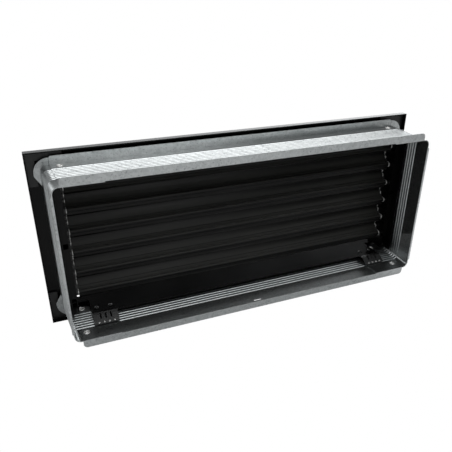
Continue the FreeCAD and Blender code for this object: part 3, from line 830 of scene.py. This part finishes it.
@dataclass
class DomedRivets(Repeat):
    """Domed rivets through the neck and the channels' end tabs.

    Args:
        depth: their place along Y.
        inset_x: their distance from the middle.
        outer_z: height of the neck's outer face.
        stack: thickness of the sheets that they hold.
        head: radius of the domed head.
        head_height: height of the dome.
        shank: radius of the shank.
        closing: the closing head's size as a share of the dome's.
    """

    depth: float = -1.0
    inset_x: float = 242.4
    outer_z: float = 92.45
    stack: float = 2.8
    head: float = 2.9
    head_height: float = 0.9
    shank: float = 1.6
    closing: tuple[float, float, float] = (0.72, 0.72, 0.8)

    def sizes(self) -> dict[str, float]:
        """Return the tree's inputs."""
        return {"Depth": self.depth * MM, "Inset": self.inset_x * MM, "Height": self.outer_z * MM,
                "Stack": self.stack * MM, "Head": self.head * MM, "Flat": self.head_height / self.head,
                "Shank": self.shank * MM}

    def wire(self, graph: Graph, entry: Node) -> Socket:
        """Wire a dome outside, a smaller closing head inside and the shank between them.

        Args:
            graph: the tree's graph.
            entry: the node with the tree's inputs.

        Returns:
            The rivets.
        """
        size = entry.outputs
        head = dome(graph, size["Head"], size["Flat"])
        inside = vector(graph, z=graph.times(size["Stack"], -1.0))
        shut = moved(graph, head, inside, scale=self.closing)
        halfway = vector(graph, z=graph.times(size["Stack"], -0.5))
        shank = moved(graph, rod(graph, size["Shank"], size["Stack"]), halfway)
        pair = both_ends(graph, joined(graph, [head, shut, shank]), size["Inset"])
        return top_and_bottom(graph, moved(graph, pair, vector(graph, y=size["Depth"], z=size["Height"])))


@dataclass
class CrossScrews(Repeat):
    """Screws with a cross recess that hold the latches from inside the neck.

    Args:
        depth: their place along Y.
        middle_x: distance of a pair's middle from the middle of the grille.
        half_spread: half the distance between the two of a pair.
        inner_z: height of the neck's inner face.
        head: radius of the head.
        head_height: height of the head.
        shank: radius of the shank.
        length: length of the shank.
        recess: half length of the cross.
        groove_width: width of the cross's bars as a share of their length.
        groove_height: height of the bars as a share of the head's.
    """

    depth: float = 26.0
    middle_x: float = 207.0
    half_spread: float = 9.0
    inner_z: float = 90.95
    head: float = 2.7
    head_height: float = 1.2
    shank: float = 1.4
    length: float = 4.2
    recess: float = 1.6
    groove_width: float = 0.22
    groove_height: float = 1.1

    def sizes(self) -> dict[str, float]:
        """Return the tree's inputs."""
        return {"Depth": self.depth * MM, "Middle": self.middle_x * MM, "Spread": self.half_spread * MM,
                "Height": self.inner_z * MM, "Head": self.head * MM, "Flat": self.head_height / self.head,
                "Rise": self.head_height * MM, "Shank": self.shank * MM, "Length": self.length * MM,
                "Recess": self.recess * 2 * MM}

    def wire(self, graph: Graph, entry: Node) -> Socket:
        """Wire a low dome with a cross cut in it, on a shank.

        Args:
            graph: the tree's graph.
            entry: the node with the tree's inputs.

        Returns:
            The screws.
        """
        size = entry.outputs
        head = dome(graph, size["Head"], size["Flat"])
        narrow = graph.times(size["Recess"], self.groove_width)
        deep = graph.times(size["Rise"], self.groove_height)
        bar = graph.node("GeometryNodeMeshCube", {"Size": vector(graph, size["Recess"], narrow, deep)})
        low = vector(graph, z=graph.times(size["Rise"], -1.0))
        for turn in (0.0, math.pi / 2):
            arm = moved(graph, bar.outputs["Mesh"], low, turn=(0, 0, turn))
            head = cut(graph, head, arm, solver="EXACT")
        halfway = vector(graph, z=graph.times(size["Length"], 0.5))
        shank = moved(graph, rod(graph, size["Shank"], size["Length"]), halfway)
        pair = both_ends(graph, joined(graph, [head, shank]), size["Spread"])
        pairs = both_ends(graph, pair, size["Middle"])
        return top_and_bottom(graph, moved(graph, pairs, vector(graph, y=size["Depth"], z=size["Height"])))


@dataclass
class SteelBarbs(Repeat):
    """Tapered steel barbs in a row near the foot of each latch's slope.

    Args:
        middle_x: distance of a row's middle from the middle of the grille.
        pitch: distance from barb to barb.
        depth: place of the barb's middle along Y.
        height: height of the barb's middle.
        length: length of a barb.
        root: radius across the corners at the root.
        tip: radius across the corners at the tip.
        thin: thickness as a share of the root's width.
        lean: how far the barb's axis is turned from upright, in degrees.
        in_row: how many barbs a latch has.
    """

    middle_x: float = 207.0
    pitch: float = 6.6
    depth: float = 53.0
    height: float = 96.6
    length: float = 2.7
    root: float = 2.0
    tip: float = 1.1
    thin: float = 0.17
    lean: float = -82.6
    in_row: int = 4

    def sizes(self) -> dict[str, float]:
        """Return the tree's inputs."""
        return {"Middle": self.middle_x * MM, "Pitch": self.pitch * MM, "Depth": self.depth * MM,
                "Height": self.height * MM, "Length": self.length * MM, "Root": self.root * MM,
                "Tip": self.tip * MM, "Thin": self.thin, "Lean": math.radians(self.lean)}

    def wire(self, graph: Graph, entry: Node) -> Socket:
        """Wire one tapered barb, a row of them and the four rows.

        Args:
            graph: the tree's graph.
            entry: the node with the tree's inputs.

        Returns:
            The barbs.
        """
        size = entry.outputs
        taper = graph.node("GeometryNodeMeshCone", {"Vertices": 4, "Radius Top": size["Tip"],
                                                    "Radius Bottom": size["Root"], "Depth": size["Length"]})
        half_down = vector(graph, z=graph.times(size["Length"], -0.5))
        centred = moved(graph, taper.outputs["Mesh"], half_down, turn=(0, 0, math.pi / 4))
        plate = moved(graph, centred, scale=vector(graph, 1.0, size["Thin"], 1.0))
        place = vector(graph, y=size["Depth"], z=size["Height"])
        barb = moved(graph, plate, place, vector(graph, x=size["Lean"]))
        start = graph.times(size["Pitch"], -(self.in_row - 1) / 2)
        row = in_line(graph, barb, self.in_row, start, size["Pitch"])
        return top_and_bottom(graph, both_ends(graph, row, size["Middle"]))


@dataclass
class BladePlace:
    """Where a blade hangs and how it is tilted at rest.

    Args:
        index: its number from the top, from 0.
        first_z: height of the top blade's pivot.
        pitch: distance from pivot to pivot.
        depth: place of the pivots along Y.
        top_tilt: how far the top blade is turned up from level, in degrees.
        lower_tilt: how far the other blades are.
    """

    index: int
    first_z: float = 77.45
    pitch: float = 28.9
    depth: float = 17.6
    top_tilt: float = 26.0
    lower_tilt: float = 58.0

    def sizes(self) -> dict[str, float]:
        """Return the inputs that hang a piece on the blade's pivot."""
        tilt = self.lower_tilt if self.index else self.top_tilt
        return {"Depth": self.depth * MM, "Height": (self.first_z - self.pitch * self.index) * MM,
                "Tilt": -math.radians(tilt)}


def hung(graph: Graph, shape: Socket, entry: Node) -> Socket:
    """Tilt a shape that is drawn about the origin and put it on its blade's pivot.

    Args:
        graph: the tree's graph.
        shape: the shape.
        entry: the node with the tree's inputs, those of the blade's place among them.

    Returns:
        The shape in its place.
    """
    size = entry.outputs
    pivot = vector(graph, y=size["Depth"], z=size["Height"])
    return moved(graph, shape, pivot, vector(graph, x=size["Tilt"]))


@dataclass
class SkirtBead(Repeat):
    """Round bead along the lower edge of a blade's skirt.

    Args:
        place: the blade's place.
        run: distance of the bead behind the pivot before the blade is turned.
        drop: distance of the bead below the pivot before the blade is turned.
        radius: its radius.
        half_length: half of its length.
    """

    place: BladePlace = field(default_factory=lambda: BladePlace(0))
    run: float = 5.9
    drop: float = 3.65
    radius: float = 1.0
    half_length: float = 234.5

    def sizes(self) -> dict[str, float]:
        """Return the tree's inputs."""
        return {"Run": self.run * MM, "Drop": -self.drop * MM, "Radius": self.radius * MM,
                "Length": self.half_length * 2 * MM, **self.place.sizes()}

    def wire(self, graph: Graph, entry: Node) -> Socket:
        """Wire a rod along X and turn it about the pivot.

        Args:
            graph: the tree's graph.
            entry: the node with the tree's inputs.

        Returns:
            The bead.
        """
        size = entry.outputs
        level = moved(graph, rod(graph, size["Radius"], size["Length"]), turn=(0, math.pi / 2, 0))
        placed = moved(graph, level, vector(graph, y=size["Run"], z=size["Drop"]))
        return hung(graph, placed, entry)


@dataclass
class CapRings(Repeat):
    """Pale zinc rings round the pivot and the two plugs of a blade's end caps: partly the pale pin and plug
    ends, partly painted highlights on their rims.

    Args:
        place: the blade's place.
        face_x: distance of the caps' inner faces from the middle.
        boss: radius of the ring at the pivot.
        plug: radius of the rings at the plugs.
        wire_radius: radius of a ring's own section.
        near: how far the nearer plug is in front of the pivot and below it before the blade is turned.
        far: the same for the farther plug.
    """

    place: BladePlace = field(default_factory=lambda: BladePlace(0))
    face_x: float = 235.2
    boss: float = 3.7
    plug: float = 3.0
    wire_radius: float = 0.45
    near: Limits = (12.7, 3.43)
    far: Limits = (19.8, 1.98)

    def sizes(self) -> dict[str, float]:
        """Return the tree's inputs."""
        return {"Face": self.face_x * MM, "Boss": self.boss * MM, "Plug": self.plug * MM,
                "Wire": self.wire_radius * MM,
                "Near Run": -self.near[0] * MM, "Near Drop": -self.near[1] * MM,
                "Far Run": -self.far[0] * MM, "Far Drop": -self.far[1] * MM, **self.place.sizes()}

    def wire(self, graph: Graph, entry: Node) -> Socket:
        """Wire three rings across X at both ends and turn them about the pivot.

        Args:
            graph: the tree's graph.
            entry: the node with the tree's inputs.

        Returns:
            The rings.
        """
        size = entry.outputs
        # The rings are partly painted highlights on the rims of the pivot and plugs.
        upright = (0, math.pi / 2, 0)
        boss = moved(graph, tube_ring(graph, size["Boss"], size["Wire"], CAP_RING_SIDES), turn=upright)
        plug = tube_ring(graph, size["Plug"], size["Wire"], CAP_RING_SIDES)
        near = moved(graph, plug, vector(graph, y=size["Near Run"], z=size["Near Drop"]), upright)
        far = moved(graph, plug, vector(graph, y=size["Far Run"], z=size["Far Drop"]), upright)
        ends = both_ends(graph, joined(graph, [boss, near, far]), size["Face"])
        return hung(graph, ends, entry)


@dataclass
class Fastenings:
    """All small repeated pieces, dressed from the wardrobe.

    Args:
        wardrobe: the finishes.
    """

    wardrobe: Wardrobe

    def pieces(self) -> list[Repeat]:
        """List every piece, with the body that it rides on.

        Returns:
            The pieces, in the order in which they are built.
        """
        made: list[Repeat] = [
            RolledEyelets("rolled_front_eyelets", "subframe", Slot.ZINC, ("front_eyelets",), depth=8.0),
            RolledEyelets("rolled_rear_eyelets", "subframe", Slot.ZINC, ("rear_eyelets",), depth=62.2),
            DomedRivets("domed_rivets", "insert", Slot.BLACK_STEEL, ("channel_rivets",)),
            CrossScrews("cross_screws", "insert", Slot.BLACK_STEEL, ("latch_screws",)),
            SteelBarbs("steel_barbs", "insert", Slot.BRIGHT_STEEL, ("latch_teeth",)),
        ]
        for index in range(BLADES):
            place = BladePlace(index)
            body = f"vane_{index + 1}"
            made.append(SkirtBead(f"blade_{index + 1}_bead", body, Slot.BLADE_COAT, place=place))
            # The cap rings are partly painted highlights on the caps' rims.
            made.append(CapRings(f"blade_{index + 1}_rings", body, Slot.ZINC, place=place))
        return made

    def build(self) -> None:
        """Build every piece."""
        for piece in self.pieces():
            piece.build(self.wardrobe.materials[piece.slot])


@dataclass
class PhotoCamera:
    """The camera behind the grille, above and to its left.

    Args:
        place: where it stands, in metres.
        yaw: how far it turns from looking along -Y, in degrees.
        pitch: how far it looks down, in degrees.
        focal_px: its focal length in pixels of the picture.
        width_px: the picture's width.
        sensor_mm: the sensor's width.
    """

    place: Vector = Vector((257.9 * MM, 591.2 * MM, 286.9 * MM))
    yaw: float = 21.786
    pitch: float = 25.572
    focal_px: float = 493.09
    width_px: float = 452.0
    sensor_mm: float = 36.0

    def build(self) -> bpy.types.Object:
        """Make the scene's camera.

        Returns:
            The camera.
        """
        yaw, pitch = math.radians(self.yaw), math.radians(self.pitch)
        right = Vector((-math.cos(yaw), math.sin(yaw), 0))
        up = Vector((-math.sin(yaw) * math.sin(pitch), -math.cos(yaw) * math.sin(pitch), math.cos(pitch)))
        back = right.cross(up)
        data = bpy.data.cameras.new("photo_camera")
        data.sensor_width = self.sensor_mm
        data.lens = self.focal_px / self.width_px * self.sensor_mm
        camera = bpy.data.objects.new("photo_camera", data)
        bpy.context.scene.collection.objects.link(camera)
        turn = Matrix((right, up, back)).transposed()
        camera.matrix_world = Matrix.Translation(self.place) @ turn.to_4x4()
        bpy.context.scene.camera = camera
        return camera


@dataclass(frozen=True)
class Softbox:
    """A square area light.

    Args:
        name: the light's name.
        place: where it hangs.
        aim: what it points at.
        size: its edge in metres.
        power: its power in watts.
    """

    name: str
    place: tuple[float, float, float]
    aim: tuple[float, float, float]
    size: float
    power: float

    def hang(self) -> None:
        """Make the light and point it."""
        data = bpy.data.lights.new(self.name, "AREA")
        data.size = self.size
        data.energy = self.power
        lamp = bpy.data.objects.new(self.name, data)
        lamp.location = self.place
        lamp.rotation_mode = "QUATERNION"
        lamp.rotation_quaternion = (Vector(self.aim) - Vector(self.place)).to_track_quat("-Z", "Y")
        bpy.context.scene.collection.objects.link(lamp)


SOFTBOXES = (
    Softbox("ceiling", place=(0.0, -0.1, 1.5), aim=(0.0, -0.1, 0.0), size=1.0, power=7.0),
    Softbox("far_ceiling", place=(-0.7, -0.25, 1.2), aim=(-0.1, 0.0, 0.1), size=0.8, power=5.5),
    Softbox("fill", place=(-0.2, 1.6, 0.5), aim=(0.0, 0.0, 0.1), size=0.8, power=3.5),
)


@dataclass
class Studio:
    """White studio: a pale floor, bright ceiling lights and soft fill.

    The edges are limits between which a brightness fades, as the part of a direction along one axis.

    Args:
        floor_z: height of the floor.
        floor_size: edge of the floor.
        background: brightness that the camera sees behind the object.
        backdrop: brightness of the white sweep in front of the grille, as the surfaces see it.
        far_gain: how many times brighter the sweep is towards its far end.
        panel: brightness of the wide light above and behind the grille.
        dim_side: brightness of the rest of the studio.
        floor_tint: colour of the floor, as the surfaces see it.
        sky_tint: colour of the studio, as the surfaces see it.
        sweep_edge: edge of the sweep along Y.
        sweep_top: edge of the sweep along Z.
        far_edge: edge of its brighter end along X.
        panel_edge: edge of the wide light along Y.
        panel_foot: edge of the wide light along Z.
    """

    floor_z: float
    floor_size: float = 12.0
    background: float = 1.0
    backdrop: float = 1.25
    far_gain: float = 2.4
    panel: float = 1.0
    dim_side: float = 0.05
    floor_tint: Colour = (0.8, 0.8, 0.8)
    sky_tint: Colour = (0.97, 0.99, 1.0)
    sweep_edge: Limits = (-0.6, 0.1)
    sweep_top: Limits = (0.28, 0.37)
    far_edge: Limits = (-0.55, 0.0)
    panel_edge: Limits = (-0.2, 0.3)
    panel_foot: Limits = (0.42, 0.68)

    def build(self) -> None:
        """Make the floor, the lights and the world."""
        self.floor()
        self.world()
        for softbox in SOFTBOXES:
            softbox.hang()
        view = bpy.context.scene.view_settings
        view.view_transform = "Standard"
        view.look = "None"

    def floor(self) -> None:
        """Lay the floor, white to the camera and pale to everything else."""
        mesh = bpy.data.meshes.new("floor")
        half = self.floor_size / 2
        corners = [(-half, -half), (half, -half), (half, half), (-half, half)]
        mesh.from_pydata([(x, y, self.floor_z) for x, y in corners], [], [(0, 1, 2, 3)])
        floor = bpy.data.objects.new("floor", mesh)
        bpy.context.scene.collection.objects.link(floor)
        material = bpy.data.materials.new("floor_white")
        material.use_nodes = True
        graph = Graph(material.node_tree)
        material.node_tree.nodes.clear()
        seen = graph.node("ShaderNodeEmission", {"Color": (1, 1, 1, 1), "Strength": self.background})
        pale = graph.node("ShaderNodeBsdfDiffuse", {"Color": (*self.floor_tint, 1)})
        mix = self.for_camera(graph, pale.outputs[0], seen.outputs[0])
        leave = graph.node("ShaderNodeOutputMaterial")
        graph.feed(leave.inputs["Surface"], mix)
        mesh.materials.append(material)
        floor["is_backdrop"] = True

    def world(self) -> None:
        """Wrap the scene in white for the camera and in a soft gradient for the surfaces."""
        world = bpy.data.worlds.new("studio_world")
        bpy.context.scene.world = world
        world.use_nodes = True
        world.node_tree.nodes.clear()
        graph = Graph(world.node_tree)
        where = graph.node("ShaderNodeTexCoord").outputs["Generated"]
        split = graph.node("ShaderNodeSeparateXYZ", {0: where}).outputs
        in_front = graph.spread(split["Y"], *self.sweep_edge, 1.0, 0.0)
        low = graph.spread(split["Z"], *self.sweep_top, 1.0, 0.0)
        far_end = graph.spread(split["X"], *self.far_edge, self.far_gain, 1.0)
        sweep = graph.times(graph.times(self.backdrop, far_end), graph.times(in_front, low))
        behind = graph.spread(split["Y"], *self.panel_edge, 0.0, 1.0)
        high = graph.spread(split["Z"], *self.panel_foot, 0.0, 1.0)
        panel = graph.times(self.panel, graph.times(behind, high))
        level = graph.sum("ADD", self.dim_side, graph.sum("ADD", sweep, panel))
        around = graph.node("ShaderNodeBackground", {"Color": (*self.sky_tint, 1), "Strength": level})
        seen = graph.node("ShaderNodeBackground", {"Color": (1, 1, 1, 1), "Strength": self.background})
        mix = self.for_camera(graph, around.outputs[0], seen.outputs[0])
        leave = graph.node("ShaderNodeOutputWorld")
        graph.feed(leave.inputs["Surface"], mix)

    def for_camera(self, graph: Graph, lit: Socket, seen: Socket) -> Socket:
        """Show one shader to the camera and light the scene with another.

        Args:
            graph: the material's or the world's graph.
            lit: what the surfaces see.
            seen: what the camera sees.

        Returns:
            The socket of the mixed shader.
        """
        path = graph.node("ShaderNodeLightPath").outputs["Is Camera Ray"]
        return graph.node("ShaderNodeMixShader", {0: path, 1: lit, 2: seen}).outputs[0]


def main() -> None:
    """Build the looks in order."""
    logging.basicConfig(level=logging.INFO)
    cad_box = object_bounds()
    PhotoCamera().build()
    LOG.info("camera in place")
    wardrobe = Wardrobe()
    wardrobe.dress_frame()
    LOG.info("frame dressed: %d nodes", len(frame["nodes"]))
    Fastenings(wardrobe).build()
    Studio(floor_z=cad_box[0].z - FLOOR_GAP).build()
    LOG.info("studio lit")


if __name__ == "__main__":
    main()
